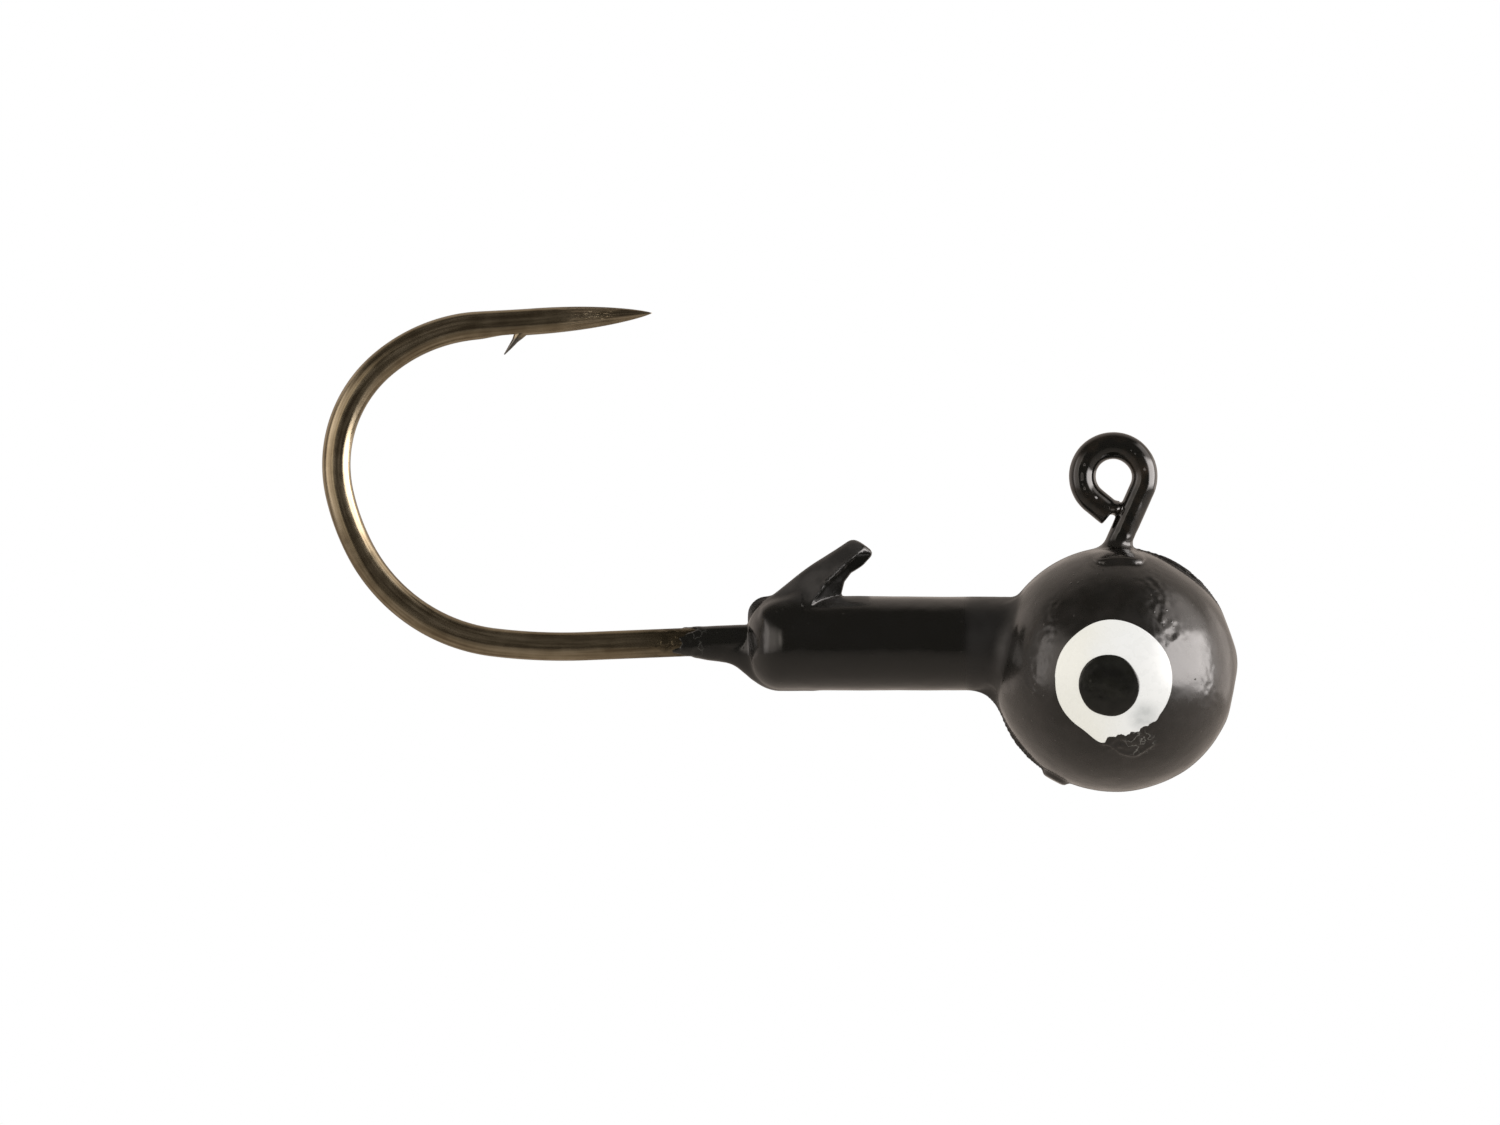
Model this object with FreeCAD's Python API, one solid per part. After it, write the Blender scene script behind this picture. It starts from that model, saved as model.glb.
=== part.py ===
"""A ball-head fishing jig: a lead head and collar cast on a forged hook, under black enamel.

Millimetres. The origin is the centre of the line eye, where the lure hangs from its line.
+X points out of the nose, +Z up from the head to the line eye, and the hook lies in the plane Y = 0.
"""

import FreeCAD
import Part
import math
import os

from FreeCAD import Rotation, Vector

Y_AXIS = Vector(0, 1, 0)

# ---- Driving dimensions -------------------------------------------------------------------------

# The casting and its enamel
BALL_DIAMETER = 10.0  # lead, under the enamel
HEAD_ENAMEL = 0.10  # film on the lead
BALL_DROP = 8.06  # ball centre below the line eye
BALL_AHEAD = 0.08  # and ahead of it
COLLAR_DIAMETER = 3.64  # lead
COLLAR_RISE = 1.09  # collar axis above the ball centre
COLLAR_REAR_X = -15.17
COLLAR_REAR_RADIUS = 1.30  # round the rear end

# The keeper, a barb on the collar that holds a soft bait
KEEPER_FOOT = Vector(-14.17, 0, -5.08)  # where its back leaves the collar
KEEPER_ANGLE = 36.8  # of its back above the collar
KEEPER_SECTIONS = (  # distance along its back, depth to its front edge, depth to the crease, width
    (-0.55, 2.45, 1.50, 1.70),
    (1.00, 2.25, 1.15, 1.96),
    (2.35, 1.45, 0.90, 1.60),
    (2.95, 1.04, 0.79, 1.44),
    (3.70, 0.97, 0.65, 1.18),
    (4.22, 0.85, 0.54, 0.98),
)
KEEPER_BACK_SHARE = 0.75  # of the width at the crease
KEEPER_TIP_ROUND = 0.20

# Marks that the two-piece mould leaves on the lead
FLASH_WIDTH = 0.12  # the seam fin's thickness across Y
FLASH_HEIGHT = 0.04  # and how far it stands out
GATE_FLAT_DEPTH = 0.07  # the trimmed gate on the nose
GATE_FLAT_ANGLE = -11.0  # its direction from the ball centre, above +X
VENT_ANGLE = -119.0  # the vent's stub under the ball
VENT_DIAMETER = 0.95
VENT_HEIGHT = 0.18
WEB_BACK = 0.92  # the web in the corner under the collar: its reach back along the collar
WEB_DOWN = (0.41, 1.55)  # its lower end on the ball, ahead of the corner and below it
WEB_HOLLOW = (0.10, 0.38)  # the middle of its hollow edge, behind the corner and below it
WEB_WIDTH = 0.50

# The hook, one forged wire
WIRE_DIAMETER = 0.92  # the line eye and its neck, which stay round
FORGED_DEPTH = 1.19  # shank and bend, in the hook's plane
FORGED_WIDTH = 0.92  # and across it
EYE_MEAN_RADIUS = 1.316
EYE_START = 231.0  # the ring runs clockwise from here, seen from -Y
EYE_END = -24.0  # to here, where the neck leaves it
EYE_TAIL = 0.84  # straight end of the wire beyond the ring
NECK_BEND_RADIUS = 1.5  # inside the ball
SHANK_SLOPE = 2.3  # rising towards the nose
SHANK_RISE = 0.15  # above the collar axis where it leaves the collar
SHANK_FREE = 6.84  # straight length behind the collar
SECTION_CHANGE = (-12.0, -9.0)  # X of the round wire's change to the forged section
BEND_ARCS = ((24.2, 9.2), (7.3, 55.8), (9.7, 14.7), (5.5, 62.4), (6.9, 36.1))  # radius, degrees
POINT_LENGTH = 7.3  # straight run from the bend to the tip
POINT_TAPER = 5.0  # the ogive at its end
POINT_NECKING = 0.07  # share of the section lost before the ogive starts
TIP_DIAMETER = 0.04
BARB_FROM_TIP = 5.50
BARB_LENGTH = 1.02
BARB_ROOT = (0.52, 0.36)  # along the wire, across it
BARB_ROOT_DEPTH = 0.33  # its root starts this far inside the wire's centreline
BARB_TIP = 0.035
BARB_ANGLE = 52.0  # between the barb and the wire

# The enamel on the wire
WIRE_ENAMEL = 0.06
SHANK_ENAMEL_X = -18.15  # where the film on the shank ends
EYE_LAND_RADIUS = 0.82  # the film is cleared to this round hole inside the ring
NECK_POOL_RADIUS = 0.85  # enamel gathered at the neck's foot, at its root inside the ball
NECK_POOL_ROOT = 0.6  # depth of that root
NECK_POOL_HEIGHT = 0.45  # above the ball
SHANK_POOL_RADIUS = 1.10  # and where the shank leaves the collar, mostly below the wire
SHANK_POOL_DROP = 0.42
SHANK_POOL_ROOT = 0.20  # depth of its root inside the collar
SHANK_POOL_LENGTH = 0.95  # behind the collar

# The painted eyes, one each side
EYE_WHITE_DIAMETER = 4.91
EYE_WHITE_OFFSET = (-0.10, -0.38)  # X and Z from the ball centre
PUPIL_DIAMETER = 2.53
PUPIL_OFFSET = (-0.29, -0.65)
PAINT = 0.04  # thickness of each dab

# ---- Places worked out from them ----------------------------------------------------------------

BALL = Vector(BALL_AHEAD, 0, -BALL_DROP)
BALL_RADIUS = BALL_DIAMETER / 2
COLLAR_Z = BALL.z + COLLAR_RISE
SHANK_POOL_END = COLLAR_REAR_X - SHANK_POOL_LENGTH
FORGED = (FORGED_DEPTH / 2, FORGED_WIDTH / 2)
ROUND_WIRE = (WIRE_DIAMETER / 2, WIRE_DIAMETER / 2)


def heading(degrees):
    """The unit vector in the plane Y = 0 at an angle above +X."""
    a = math.radians(degrees)
    return Vector(math.cos(a), 0, math.sin(a))


def fused(*solids):
    """One clean solid made from several."""
    body = solids[0].fuse(list(solids[1:]))
    return body.removeSplitter()


# ---- The hook -----------------------------------------------------------------------------------


class WirePath:
    """Tangent lines and arcs in the plane Y = 0, all turning clockwise as seen from -Y."""

    def __init__(self, start, degrees):
        self.start = start
        self.at = start
        self.degrees = degrees
        self.edges = []

    def straight(self, length):
        end = self.at + heading(self.degrees) * length
        self.edges.append(Part.LineSegment(self.at, end).toShape())
        self.at = end

    def turn(self, radius, sweep):
        centre = self.at + heading(self.degrees - 90) * radius
        middle = centre + heading(self.degrees + 90 - sweep / 2) * radius
        end = centre + heading(self.degrees + 90 - sweep) * radius
        self.edges.append(Part.Arc(self.at, middle, end).toShape())
        self.at = end
        self.degrees -= sweep

    def wire(self):
        return Part.Wire(self.edges)


def oval(centre, degrees, half_depth, half_width):
    """A closed wire across the direction `degrees`: half_depth in the hook's plane, half_width in Y."""
    across = heading(degrees + 90)
    if half_depth == half_width:
        curve = Part.Circle(centre, heading(degrees), half_depth)
    elif half_depth > half_width:
        curve = Part.Ellipse(centre + across * half_depth, centre + Y_AXIS * half_width, centre)
    else:
        curve = Part.Ellipse(centre + Y_AXIS * half_width, centre + across * half_depth, centre)
    return Part.Wire([curve.toShape()])


def swept(path, section):
    """A solid of that section along the path."""
    return path.wire().makePipeShell([section], True, False)


def shank_point(x):
    """The point of the shank's centreline at that X."""
    slope = math.tan(math.radians(SHANK_SLOPE))
    return Vector(x, 0, COLLAR_Z + SHANK_RISE + (x - COLLAR_REAR_X) * slope)


def neck_corner():
    """Where the neck's line meets the shank's, inside the ball."""
    foot = heading(EYE_END) * EYE_MEAN_RADIUS
    down = heading(EYE_END - 90)
    on_shank = shank_point(0)
    along = heading(SHANK_SLOPE)
    normal = Vector(-along.z, 0, along.x)
    return foot + down * ((on_shank - foot).dot(normal) / down.dot(normal))


def eye_path(tail_extra=0.0):
    """The round wire from its cut end, round the line eye and down the neck as far as the bend."""
    reach = EYE_TAIL + tail_extra
    ring_start = heading(EYE_START) * EYE_MEAN_RADIUS
    path = WirePath(ring_start - heading(EYE_START - 90) * reach, EYE_START - 90)
    path.straight(reach)
    path.turn(EYE_MEAN_RADIUS, EYE_START - EYE_END)
    path.degrees += 360
    turn = path.degrees - (180 + SHANK_SLOPE)
    setback = NECK_BEND_RADIUS * math.tan(math.radians(turn / 2))
    path.straight((neck_corner() - path.at).Length - setback)
    return path, turn


def ogive(from_tip):
    """The point's section at that distance from the tip, as a share of the full section."""
    necked = 1 - POINT_NECKING * min(1.0, (POINT_LENGTH - from_tip) / (POINT_LENGTH - POINT_TAPER))
    share = math.sin(math.pi / 2 * min(1.0, from_tip / POINT_TAPER) ** 0.75)
    return necked * share


def hook_point(base, degrees):
    """The straight run and its ogive, from base to the tip."""
    along = heading(degrees)
    stations = [POINT_LENGTH, 6.2, POINT_TAPER, 4.0, 3.0, 2.1, 1.3, 0.7, 0.3]
    sections = []
    for from_tip in stations:
        share = ogive(from_tip)
        centre = base + along * (POINT_LENGTH - from_tip)
        sections.append(oval(centre, degrees, FORGED[0] * share, FORGED[1] * share))
    sections.append(oval(base + along * POINT_LENGTH, degrees, TIP_DIAMETER / 2, TIP_DIAMETER / 2))
    return Part.makeLoft(sections, True, False)


def barb(tip, degrees):
    """The sliver raised from the inside of the point, leaning back towards the bend."""
    root = tip - heading(degrees) * BARB_FROM_TIP - heading(degrees + 90) * BARB_ROOT_DEPTH
    lean = degrees + 180 + BARB_ANGLE
    reach = BARB_LENGTH + FORGED[0] - BARB_ROOT_DEPTH
    start = oval(root, lean, BARB_ROOT[0] / 2, BARB_ROOT[1] / 2)
    middle = oval(root + heading(lean) * reach * 0.4, lean, BARB_ROOT[0] / 4, BARB_ROOT[1] / 4)
    end = oval(root + heading(lean) * reach, lean, BARB_TIP / 2, BARB_TIP / 2)
    return Part.makeLoft([start, middle, end], True, True)


def hook():
    """The whole wire: line eye, neck, the hidden bend in the ball, shank, bend, point and barb."""
    path, turn = eye_path()
    path.turn(NECK_BEND_RADIUS, turn)
    path.straight((path.at - shank_point(SECTION_CHANGE[1])).Length)
    ring_and_neck = swept(path, oval(path.start, EYE_START - 90, *ROUND_WIRE))

    shank_degrees = 180 + SHANK_SLOPE
    change = Part.makeLoft(
        [
            oval(shank_point(SECTION_CHANGE[1]), shank_degrees, *ROUND_WIRE),
            oval(shank_point(SECTION_CHANGE[0]), shank_degrees, *FORGED),
        ],
        True,
        True,
    )
    bend = WirePath(shank_point(SECTION_CHANGE[0]), shank_degrees)
    bend_start = shank_point(COLLAR_REAR_X) + heading(shank_degrees) * SHANK_FREE
    bend.straight((bend_start - bend.at).Length)
    for radius, sweep in BEND_ARCS:
        bend.turn(radius, sweep)
    shank_and_bend = swept(bend, oval(shank_point(SECTION_CHANGE[0]), shank_degrees, *FORGED))
    tip = bend.at + heading(bend.degrees) * POINT_LENGTH
    point = hook_point(bend.at, bend.degrees)
    return fused(ring_and_neck, change, shank_and_bend, point, barb(tip, bend.degrees))


# ---- The head -----------------------------------------------------------------------------------


def collar(skin):
    """The collar and its round rear end, out to the lead's surface plus a skin."""
    radius = COLLAR_DIAMETER / 2 + skin
    rear = COLLAR_REAR_X - skin
    corner = COLLAR_REAR_RADIUS + skin
    front = BALL.x
    axis = Vector(0, 0, COLLAR_Z)

    def at(x, r):
        return axis + Vector(x, 0, r)

    bevel = corner * (1 - math.sqrt(0.5))
    outline = Part.Wire(
        [
            Part.LineSegment(at(rear, 0), at(rear, radius - corner)).toShape(),
            Part.Arc(
                at(rear, radius - corner),
                at(rear + bevel, radius - bevel),
                at(rear + corner, radius),
            ).toShape(),
            Part.LineSegment(at(rear + corner, radius), at(front, radius)).toShape(),
            Part.LineSegment(at(front, radius), at(front, 0)).toShape(),
            Part.LineSegment(at(front, 0), at(rear, 0)).toShape(),
        ]
    )
    return Part.Face(outline).revolve(axis, Vector(1, 0, 0), 360)


def keeper_section(along, depth, crease, width, skin):
    """A five-sided outline: a flat back, two flanks and a front that bevels to an edge at Y = 0."""
    back = KEEPER_FOOT + heading(KEEPER_ANGLE) * along
    forward = heading(KEEPER_ANGLE - 90)
    half = width / 2 + skin
    corners = [
        (-skin, -half * KEEPER_BACK_SHARE),
        (crease, -half),
        (depth + skin * 1.3, 0),
        (crease, half),
        (-skin, half * KEEPER_BACK_SHARE),
    ]
    corners.append(corners[0])
    return Part.makePolygon([back + forward * n + Y_AXIS * y for n, y in corners])


def keeper(skin):
    """The barb that rises forward from the collar."""
    *lower, (tip_along, *tip_size) = KEEPER_SECTIONS
    sections = [keeper_section(*row, skin) for row in lower]
    sections.append(keeper_section(tip_along + skin, *tip_size, skin))
    spike = Part.makeLoft(sections, True, False)
    end = KEEPER_FOOT + heading(KEEPER_ANGLE) * (tip_along + skin)
    rim = [
        edge
        for edge in spike.Edges
        if all(abs((v.Point - end).dot(heading(KEEPER_ANGLE))) < 0.01 for v in edge.Vertexes)
    ]
    return spike.makeFillet(KEEPER_TIP_ROUND + skin * 0.5, rim)


def seam_fin(skin):
    """The flash round the ball where the mould's halves met."""
    radius = BALL_RADIUS + FLASH_HEIGHT + skin
    width = FLASH_WIDTH + 2 * skin
    return Part.makeCylinder(radius, width, BALL - Y_AXIS * (width / 2), Y_AXIS)


def vent_stub(skin):
    """The broken-off vent under the ball."""
    reach = BALL_RADIUS + VENT_HEIGHT + skin
    return Part.makeCylinder(VENT_DIAMETER / 2 + skin, reach, BALL, heading(VENT_ANGLE))


def seam_web(skin):
    """The flash that fills the corner under the collar, in the mould's seam."""
    below = COLLAR_RISE - COLLAR_DIAMETER / 2
    corner = BALL + Vector(-math.sqrt(BALL_RADIUS**2 - below**2), 0, below)
    back = corner - Vector(WEB_BACK + skin, 0, 0)
    down = corner + Vector(WEB_DOWN[0], 0, -WEB_DOWN[1])
    hollow = corner - Vector(WEB_HOLLOW[0] + skin * 0.7, 0, WEB_HOLLOW[1] + skin * 0.7)
    inside = corner + Vector(COLLAR_DIAMETER / 2, 0, COLLAR_DIAMETER / 4)
    outline = Part.Wire(
        [
            Part.Arc(back, hollow, down).toShape(),
            Part.LineSegment(down, inside).toShape(),
            Part.LineSegment(inside, back).toShape(),
        ]
    )
    width = WEB_WIDTH + 2 * skin
    plate = Part.Face(outline).extrude(Y_AXIS * width)
    plate.translate(Y_AXIS * (-width / 2))
    return plate


def gate_trim(skin):
    """The block that the trimmed gate leaves off the nose."""
    out = heading(GATE_FLAT_ANGLE)
    size = BALL_DIAMETER
    block = Part.makeBox(size, size, size, Vector(0, -size / 2, -size / 2))
    block.Placement = FreeCAD.Placement(
        BALL + out * (BALL_RADIUS - GATE_FLAT_DEPTH + skin), Rotation(Y_AXIS, -GATE_FLAT_ANGLE)
    )
    return block


def head_form(skin):
    """Everything that the mould shapes, out to the lead's surface plus a skin."""
    ball = Part.makeSphere(BALL_RADIUS + skin, BALL)
    features = (collar, seam_fin, vent_stub, seam_web, keeper)
    return fused(ball, *[feature(skin) for feature in features]).cut(gate_trim(skin))


# ---- The enamel ---------------------------------------------------------------------------------


def neck_pool():
    """Enamel gathered round the neck's foot on top of the ball."""
    up = heading(EYE_END + 90)
    foot = heading(EYE_END) * EYE_MEAN_RADIUS
    surface = BALL_RADIUS + HEAD_ENAMEL
    drop = (foot - BALL).dot(up)
    off_centre = (foot - up * drop - BALL).Length
    height = drop - math.sqrt(surface**2 - off_centre**2)
    return Part.makeCone(
        NECK_POOL_RADIUS,
        WIRE_DIAMETER / 2 + WIRE_ENAMEL,
        NECK_POOL_HEIGHT + NECK_POOL_ROOT,
        foot - up * (height + NECK_POOL_ROOT),
        up,
    )


def shank_pool():
    """Enamel gathered where the shank leaves the collar, hanging below the wire."""
    degrees = 180 + SHANK_SLOPE
    wide = shank_point(COLLAR_REAR_X + SHANK_POOL_ROOT) - Vector(0, 0, SHANK_POOL_DROP)
    narrow = shank_point(SHANK_POOL_END)
    narrow_radius = FORGED[0] + WIRE_ENAMEL + 0.02
    return Part.makeLoft(
        [
            oval(wide, degrees, SHANK_POOL_RADIUS, SHANK_POOL_RADIUS),
            oval(narrow, degrees, narrow_radius, narrow_radius),
        ],
        True,
        True,
    )


def head_outside():
    """The enamel's outer surface on the casting, as a solid."""
    return fused(head_form(HEAD_ENAMEL), neck_pool(), shank_pool())


def eye_film(wire, outside):
    """The film on the line eye and neck, cleared to a round hole inside the ring."""
    path = eye_path(WIRE_ENAMEL)[0]
    radius = WIRE_DIAMETER / 2 + WIRE_ENAMEL
    film = swept(path, oval(path.start, EYE_START - 90, radius, radius))
    land = Part.makeCylinder(EYE_LAND_RADIUS, 4 * radius, Y_AXIS * (-2 * radius), Y_AXIS)
    return film.cut([land, wire, outside])


def shank_film(wire):
    """The film that runs on along the shank."""
    path = WirePath(shank_point(SHANK_POOL_END), 180 + SHANK_SLOPE)
    path.straight((shank_point(SHANK_ENAMEL_X) - path.at).Length)
    section = oval(path.start, path.degrees, FORGED[0] + WIRE_ENAMEL, FORGED[1] + WIRE_ENAMEL)
    return swept(path, section).cut(wire)


# ---- The painted eyes ---------------------------------------------------------------------------


def dab(side, diameter, offset, inner, outer):
    """A round dab of paint between two spheres about the ball centre, on the side at Y = side."""
    shell = Part.makeSphere(outer, BALL).cut(Part.makeSphere(inner, BALL))
    centre = BALL + Vector(offset[0], 0, offset[1])
    column = Part.makeCylinder(diameter / 2, BALL_DIAMETER, centre, Y_AXIS * side)
    return shell.common(column)


def painted_eye(side):
    """The white dab and the pupil on it."""
    surface = BALL_RADIUS + HEAD_ENAMEL
    white = dab(side, EYE_WHITE_DIAMETER, EYE_WHITE_OFFSET, surface, surface + PAINT)
    pupil = dab(side, PUPIL_DIAMETER, PUPIL_OFFSET, surface + PAINT, surface + 2 * PAINT)
    return white, pupil


# ---- The parts ----------------------------------------------------------------------------------


def main():
    wire = hook()
    casting = head_form(0)
    outside = head_outside()
    parts = {
        "hook": wire,
        "lead_casting": casting.cut(wire),
        "head_enamel": outside.cut([casting, wire]),
        "line_eye_enamel": eye_film(wire, outside),
        "shank_enamel": shank_film(wire),
    }
    for name, side in (("right", -1), ("left", 1)):
        white, pupil = painted_eye(side)
        parts[f"{name}_eye_white"] = white
        parts[f"{name}_eye_pupil"] = pupil
    os.makedirs("parts", exist_ok=True)
    for name, shape in parts.items():
        shape.exportStep(f"parts/{name}.step")
        print(f"{name}: {len(shape.Solids)} solid, {shape.Volume:.4f} mm3, valid {shape.isValid()}")


main()
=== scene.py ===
"""The looks of a ball-head fishing jig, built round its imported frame.

The black enamel is one film, made as the zero surface of a distance field. The hook is a swept wire
with a ground point and a raised barb, and the painted eyes are dabs that lie on the enamel. Shapes are
worked out in millimetres in the row frame, and become metres when their meshes are made.
"""

import math

import bmesh
import bpy
import numpy as np
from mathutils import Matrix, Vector, noise


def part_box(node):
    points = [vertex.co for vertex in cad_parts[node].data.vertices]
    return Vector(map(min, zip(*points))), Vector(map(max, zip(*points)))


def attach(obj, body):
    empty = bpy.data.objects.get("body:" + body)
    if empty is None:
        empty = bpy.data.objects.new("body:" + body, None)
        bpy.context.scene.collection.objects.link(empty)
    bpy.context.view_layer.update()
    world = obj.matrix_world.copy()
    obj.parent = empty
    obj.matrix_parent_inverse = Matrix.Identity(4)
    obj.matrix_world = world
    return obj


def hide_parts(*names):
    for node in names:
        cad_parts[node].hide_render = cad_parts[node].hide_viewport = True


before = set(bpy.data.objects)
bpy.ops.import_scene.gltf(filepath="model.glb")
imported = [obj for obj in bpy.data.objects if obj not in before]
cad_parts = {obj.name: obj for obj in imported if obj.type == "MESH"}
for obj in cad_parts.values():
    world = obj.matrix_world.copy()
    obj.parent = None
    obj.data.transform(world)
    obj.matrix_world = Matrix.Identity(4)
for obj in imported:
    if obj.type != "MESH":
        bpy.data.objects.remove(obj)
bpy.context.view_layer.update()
MM = 0.001  # metres


def box_mm(node):
    """A CAD node's lowest and highest corners, in millimetres."""
    low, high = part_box(node)
    return np.array(low) / MM, np.array(high) / MM


def heading(degrees):
    """X and Z of the unit vector at that angle above +X, in the hook's plane."""
    a = np.radians(degrees)
    return np.array([np.cos(a), np.sin(a)])


# ---- Driving dimensions, in millimetres ---------------------------------------------------------

HEAD_LOW, HEAD_HIGH = box_mm("head_enamel")
LEAD_LOW = box_mm("lead_casting")[0]
WHITE_LOW, WHITE_HIGH = box_mm("right_eye_white")
PUPIL_LOW, PUPIL_HIGH = box_mm("right_eye_pupil")
RING_HIGH = box_mm("line_eye_enamel")[1]
FILM_LOW = box_mm("shank_enamel")[0]

HEAD_FILM = 0.10  # enamel on the lead
WIRE_FILM = 0.06  # and on the wire
SEAM_PROUD = 0.04  # the mould's seam fin
BALL_R = HEAD_HIGH[1]
BALL = np.array([0.08, 0.0, HEAD_LOW[2] + SEAM_PROUD + BALL_R])
COLLAR_R = 1.92
COLLAR_Z = BALL[2] + 1.09
COLLAR_REAR = LEAD_LOW[0] - HEAD_FILM
COLLAR_CORNER = 1.40  # radius of its rear edge
VENT_ANGLE, VENT_REACH = -119.0, 5.31  # degrees and distance of its broken end from the ball's centre
VENT_R, VENT_Y = 0.58, 0.15
POOL = np.array([0.08, -0.92, -3.46])  # the middle of the puddle round the neck's foot
POOL_HALF = np.array([1.20, 1.72, 0.40])
JOIN_X = -4.75  # where the collar runs into the ball
KEEPER_FOOT = np.array([-14.17, -5.08])  # X and Z of the foot of its back
KEEPER_ANGLE = 36.8  # degrees above +X
KEEPER_LENGTH = 4.20
KEEPER_TOP_SLOPE = 0.31
FILM_END = -18.05  # where the film on the shank runs out, give or take its ragged edge

WIRE_R = RING_HIGH[1] - WIRE_FILM  # the round wire of the line eye and neck
RING_R = RING_HIGH[2] - RING_HIGH[1]  # the line eye's centreline
RING_START, RING_END = 231.0, -24.0  # it runs clockwise between these angles
TAIL = 0.84  # the straight end past the line eye
NECK_BEND_R = 1.5  # of the bend hidden in the ball
SHANK_SLOPE = 2.3  # degrees
SHANK_Z = COLLAR_Z + 0.15  # of the centreline where it leaves the collar
SHANK_FREE = 6.84  # from the collar to the bend
FORGED = np.array([0.595, 0.46])  # half depth in the hook's plane, half width across it
BEND_ARCS = ((24.2, 9.2), (7.3, 55.8), (9.7, 14.7), (5.5, 62.4), (6.9, 36.1))  # radius, degrees
FORGED_FROM, FORGED_FULL = -9.0, -12.0  # X where the flattening starts, and where it is complete
POINT_RUN = 7.3  # straight, from the bend to the tip
POINT_TAPER = 5.0  # the length that narrows to the tip
BARB_ROOT = 5.45  # from the tip
BARB_LENGTH = 1.29
BARB_LEAN = 50.0  # degrees from the wire
GROUND_FROM, GROUND_TO = -23.4, -20.4  # X, where the point shows grinding marks


# ---- Small maths --------------------------------------------------------------------------------


def smoothstep(low, high, value):
    t = np.clip((value - low) / (high - low), 0, 1)
    return t * t * (3 - 2 * t)


def smin(a, b, k):
    """The union of two distance fields, with a fillet about k across."""
    h = np.clip(0.5 + 0.5 * (b - a) / k, 0, 1)
    return b + (a - b) * h - k * h * (1 - h)


def smax(a, b, k):
    """Their intersection, with its edge rounded."""
    return -smin(-a, -b, k)


def bump(value, centre, width):
    return np.exp(-(((value - centre) / width) ** 2))


def noise_at(points, scale, seed):
    """Smooth noise between about -1 and 1 at each point."""
    shift = Vector((seed * 17.3, seed * 5.1, seed * 9.7))
    return np.array([noise.noise(Vector(p) * scale + shift) for p in points])


# ---- Meshes and objects -------------------------------------------------------------------------


def make_object(name, points, faces, material, slot, replaced=(), normals=None):
    """A smooth-shaded piece from points in millimetres."""
    mesh = bpy.data.meshes.new(name)
    mesh.from_pydata((np.asarray(points) * MM).tolist(), [], [list(map(int, f)) for f in faces])
    mesh.update()
    mesh.shade_smooth()
    if normals is not None:
        mesh.normals_split_custom_set_from_vertices(normals.tolist())
    piece = bpy.data.objects.new(name, mesh)
    bpy.context.scene.collection.objects.link(piece)
    mesh.materials.append(material)
    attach(piece, "root")
    if replaced:
        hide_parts(*replaced)
    return piece


def surface_net(field, low, high, step):
    """Points and quads of the field's zero surface, from a grid between two corners."""
    counts = [int(round((end - start) / step)) + 1 for start, end in zip(low, high)]
    axes = [start + step * np.arange(count) for start, count in zip(low, counts)]
    d = field(*np.meshgrid(*axes, indexing="ij"))
    inside = d < 0
    cells = tuple(count - 1 for count in counts)
    total = np.zeros(cells + (3,))
    crossings = np.zeros(cells)
    for axis in range(3):
        first = np.take(d, range(counts[axis] - 1), axis)
        second = np.take(d, range(1, counts[axis]), axis)
        cross = (first < 0) != (second < 0)
        share = np.where(cross, first / np.where(cross, first - second, 1), 0)
        u, v = [other for other in range(3) if other != axis]
        for du in (0, 1):
            for dv in (0, 1):
                pick = [slice(None)] * 3
                pick[u] = slice(du, du + cells[u])
                pick[v] = slice(dv, dv + cells[v])
                c = cross[tuple(pick)]
                total[..., axis] += share[tuple(pick)]
                total[..., u] += du * c
                total[..., v] += dv * c
                crossings += c
    mixed = crossings > 0
    index = np.full(cells, -1)
    index[mixed] = np.arange(mixed.sum())
    base = np.stack(np.nonzero(mixed), 1)
    points = np.array(low) + step * (base + total[mixed] / crossings[mixed][:, None])
    faces = []
    for axis in range(3):
        u, v = [(1, 2), (2, 0), (0, 1)][axis]
        first = np.take(inside, range(counts[axis] - 1), axis)
        second = np.take(inside, range(1, counts[axis]), axis)
        for flip, cross in ((False, first & ~second), (True, ~first & second)):
            at = np.stack(np.nonzero(cross), 1)
            keep = (at[:, u] > 0) & (at[:, v] > 0) & (at[:, u] < cells[u]) & (at[:, v] < cells[v])
            at = at[keep]
            ring = []
            for du, dv in ((1, 1), (0, 1), (0, 0), (1, 0)):
                cell = at.copy()
                cell[:, u] -= du
                cell[:, v] -= dv
                ring.append(index[tuple(cell.T)])
            quad = np.stack(ring, 1)
            faces.append(quad[:, ::-1] if flip else quad)
    return points, np.concatenate(faces)


def gradient(field, points, reach=0.004):
    """The field's slope at each point."""
    parts = []
    for axis in range(3):
        ahead, behind = points.copy(), points.copy()
        ahead[:, axis] += reach
        behind[:, axis] -= reach
        parts.append((field(*ahead.T) - field(*behind.T)) / (2 * reach))
    return np.stack(parts, 1)


def settle(field, points, rounds=4, limit=0.06):
    """Moves points on to the field's zero surface, and returns them with their normals."""
    for _ in range(rounds):
        slope = gradient(field, points)
        size = np.maximum((slope**2).sum(1), 0.05)
        move = slope * (field(*points.T) / size)[:, None]
        length = np.linalg.norm(move, axis=1, keepdims=True)
        points = points - move * np.minimum(1, limit / np.maximum(length, 1e-9))
    slope = gradient(field, points)
    return points, slope / np.maximum(np.linalg.norm(slope, axis=1, keepdims=True), 1e-9)


# ---- The enamel's distance field ----------------------------------------------------------------


def segment_distance(x, z, start, end):
    """Distance in the hook's plane from a straight run."""
    along = end - start
    share = ((x - start[0]) * along[0] + (z - start[1]) * along[1]) / (along @ along)
    share = np.clip(share, 0, 1)
    return np.hypot(x - start[0] - share * along[0], z - start[1] - share * along[1])


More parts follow.
